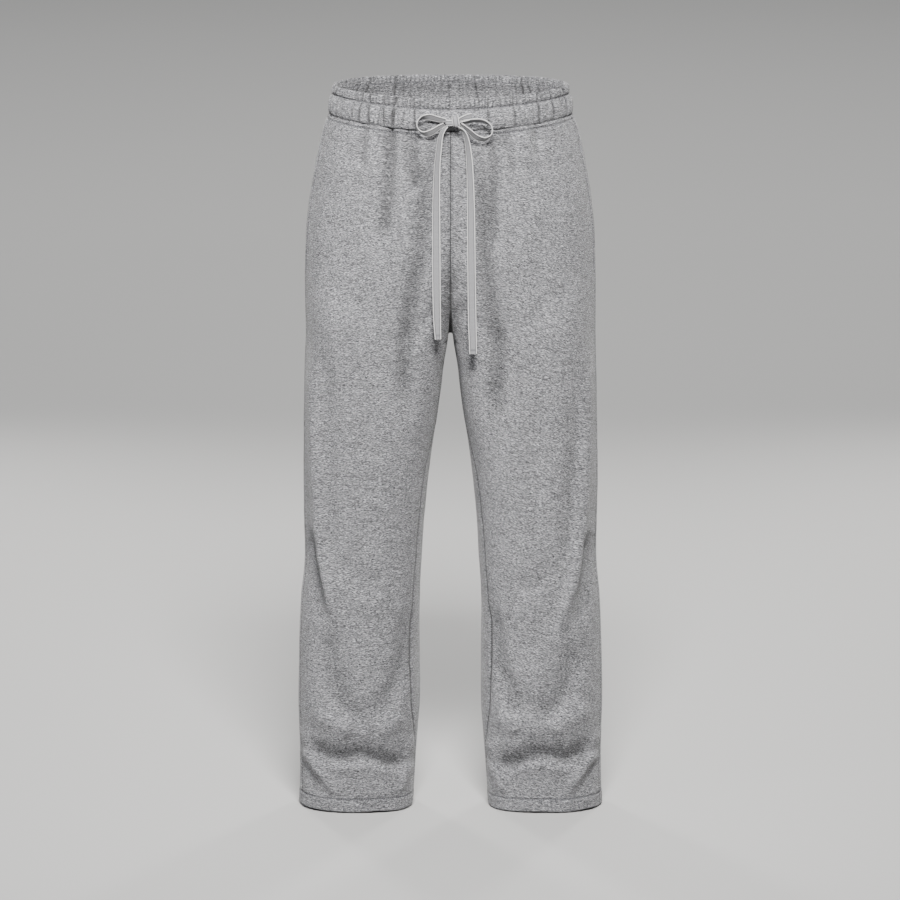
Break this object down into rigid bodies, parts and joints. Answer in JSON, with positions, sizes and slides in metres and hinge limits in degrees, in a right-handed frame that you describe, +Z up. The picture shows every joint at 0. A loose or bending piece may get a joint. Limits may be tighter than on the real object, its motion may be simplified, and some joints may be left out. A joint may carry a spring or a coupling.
{
  "type": "wide-leg sweatpants",
  "caption": "Wide-leg brushed-fleece sweatpants with a gathered elastic waistband, side pockets and a flat drawcord tied in a bow, filled out as worn.",
  "frame": {"origin": "middle of the waist opening, level with the elastic in the waistband, where the wearer's waist holds the garment", "axes": "+Z up, the front faces -Y, +X is the wearer's left"},
  "size_m": [0.437, 0.2692, 1.0486],
  "materials": {
    "fleece": "heather grey melange fleece, matte and slightly brushed",
    "pocket_cloth": "thin grey jersey, matte",
    "drawcord_tape": "flat woven cotton tape, matte with fine lengthwise ribs"
  },
  "bodies": {
    "root": {"waistband": "fleece", "front_leg_left": "fleece", "back_leg_left": "fleece", "pocket_bag_left": "pocket_cloth", "front_leg_right": "fleece", "back_leg_right": "fleece", "pocket_bag_right": "pocket_cloth", "drawcord_knot": "drawcord_tape", "drawcord_loop_left": "drawcord_tape", "drawcord_loop_right": "drawcord_tape", "drawcord_stub_left": "drawcord_tape", "drawcord_stub_right": "drawcord_tape", "drawcord_tail_left": "drawcord_tape", "drawcord_tail_right": "drawcord_tape"}
  },
  "joints": []
}
